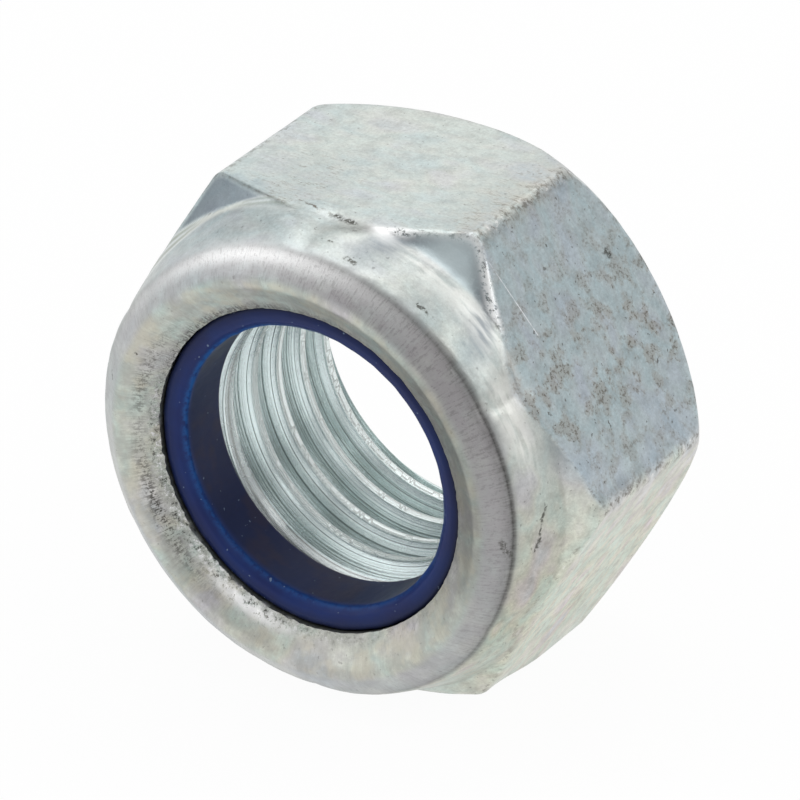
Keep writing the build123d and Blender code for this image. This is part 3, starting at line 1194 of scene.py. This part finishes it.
class NUT_OT_studio(bpy.types.Operator):
    """Builds the pale floor, the soft lamps, the backdrop and the camera"""

    bl_idname = "nut.studio"
    bl_label = "Studio"

    def execute(self, context):
        studio = context.scene.studio
        context.scene.view_settings.view_transform = "Standard"
        self.floor(studio)
        self.backdrop(context, studio)
        for name, place, size, share in (
            ("lamp_above", (-0.15, 0.25, 0.75), 0.6, 1.0),
            ("lamp_right", (0.55, 0.12, 0.50), 0.35, 0.55),
            ("lamp_left", (-0.60, -0.30, 0.45), 0.45, 0.5),
            ("lamp_front", (0.36, -0.60, 0.52), 0.30, 0.35),
        ):
            lamp = bpy.data.lights.new(name, "AREA")
            lamp.size = size
            lamp.energy = studio.lamp_power * share
            light = bpy.data.objects.new(name, lamp)
            light.location = place
            context.scene.collection.objects.link(light)
            aim(light, place)
        self.camera(context)
        return {"FINISHED"}

    def floor(self, studio):
        """A square floor under the nut; it shows white and keeps part of the shadow."""
        mesh = bpy.data.meshes.new("floor")
        reach = 6.0
        mesh.from_pydata(
            [(-reach, -reach, 0), (reach, -reach, 0), (reach, reach, 0), (-reach, reach, 0)],
            [],
            [(0, 1, 2, 3)],
        )
        floor = bpy.data.objects.new("floor", mesh)
        bpy.context.scene.collection.objects.link(floor)
        material, g, shader = new_material("floor_paper")
        shader.inputs["Base Color"].default_value = colour(studio.floor_colour)
        shader.inputs["Roughness"].default_value = 0.9
        shader.inputs["Specular IOR Level"].default_value = 0.0
        white = g.put("ShaderNodeEmission", {"Color": WHITE, "Strength": 1.0})
        seen = shown_rays(g)
        layers = {0: g.times(seen, 0.95), 1: shader.outputs[0], 2: white}
        both = g.put("ShaderNodeMixShader", layers)
        tree = material.node_tree
        tree.links.new(both, tree.nodes["Material Output"].inputs["Surface"])
        mesh.materials.append(material)

    def backdrop(self, context, studio):
        """White where it is seen or mirrored, dimmer on the camera's side, soft elsewhere."""
        world = bpy.data.worlds.new("backdrop")
        world.use_nodes = True
        context.scene.world = world
        g = Graph(world.node_tree)
        seen = g.put("ShaderNodeLightPath", {}, output=0)
        mirrored = shown_rays(g)
        direction = g.put("ShaderNodeTexCoord", {}, output=0)
        front = g.vector("DOT_PRODUCT", {0: direction, 1: TO_CAMERA}, output=1)
        right = g.vector("DOT_PRODUCT", {0: direction, 1: TO_FAR_RIGHT}, output=1)
        shade = g.times(g.rise(front, 0.55, 0.97, 1.0, 0.22), g.rise(right, 0.55, 0.97, 1.0, 0.5))
        upwards = g.rise(g.put("ShaderNodeSeparateXYZ", {0: direction}, output=2), 0.0, 0.35)
        level = g.mix(seen, g.mix(upwards, 1.0, shade), 1.0)
        background = world.node_tree.nodes["Background"].inputs
        world.node_tree.links.new(g.mix(mirrored, studio.fill, level), background["Strength"])
        background["Color"].default_value = WHITE

    def camera(self, context):
        """A long lens from the right of the ring's end, a little above."""
        camera = bpy.data.objects.new("camera", bpy.data.cameras.new("camera"))
        camera.data.lens = 391.967
        camera.data.sensor_width = 36.0
        camera.location = (0.24867172, -0.36539896, 0.25288272)
        camera.rotation_euler = [math.radians(v) for v in (61.76998, 1.78037, 33.18254)]
        context.scene.collection.objects.link(camera)
        context.scene.camera = camera


def shown_rays(g):
    """1 for rays that show a surface to the camera: direct, mirrored or seen through glass."""
    path = g.put("ShaderNodeLightPath", {}).node.outputs
    shown = path["Is Camera Ray"]
    for other in ("Is Glossy Ray", "Is Transmission Ray"):
        shown = g.put("ShaderNodeMath", {0: shown, 1: path[other]}, operation="MAXIMUM")
    return shown


def aim(light, place):
    """Turns a lamp to the middle of the nut."""
    away = np.array(place) - np.array([0, 0, 0.015])
    flat = math.hypot(away[0], away[1])
    turn = math.atan2(away[1], away[0]) + math.pi / 2
    light.rotation_euler = (math.atan2(flat, away[2]), 0, turn)


class NUT_PT_panel(bpy.types.Panel):
    bl_label = "Lock Nut"
    bl_idname = "NUT_PT_panel"
    bl_space_type = "VIEW_3D"
    bl_region_type = "UI"
    bl_category = "Lock Nut"

    def draw(self, context):
        for operator, group in (
            ("nut.steel_body", context.scene.steel_body),
            ("nut.nylon_ring", context.scene.nylon_ring),
            ("nut.studio", context.scene.studio),
        ):
            box = self.layout.box()
            for name in group.__annotations__:
                box.prop(group, name)
            box.operator(operator)


CLASSES = (
    SteelBodySettings,
    NylonRingSettings,
    StudioSettings,
    NUT_OT_steel_body,
    NUT_OT_nylon_ring,
    NUT_OT_studio,
    NUT_PT_panel,
)


def register():
    for entry in CLASSES:
        bpy.utils.register_class(entry)
    scene = bpy.types.Scene
    scene.steel_body = bpy.props.PointerProperty(type=SteelBodySettings)
    scene.nylon_ring = bpy.props.PointerProperty(type=NylonRingSettings)
    scene.studio = bpy.props.PointerProperty(type=StudioSettings)


def unregister():
    for name in ("steel_body", "nylon_ring", "studio"):
        delattr(bpy.types.Scene, name)
    for entry in reversed(CLASSES):
        bpy.utils.unregister_class(entry)


def main():
    register()
    bpy.ops.nut.studio()
    bpy.ops.nut.steel_body()
    bpy.ops.nut.nylon_ring()


if __name__ == "__main__":
    main()
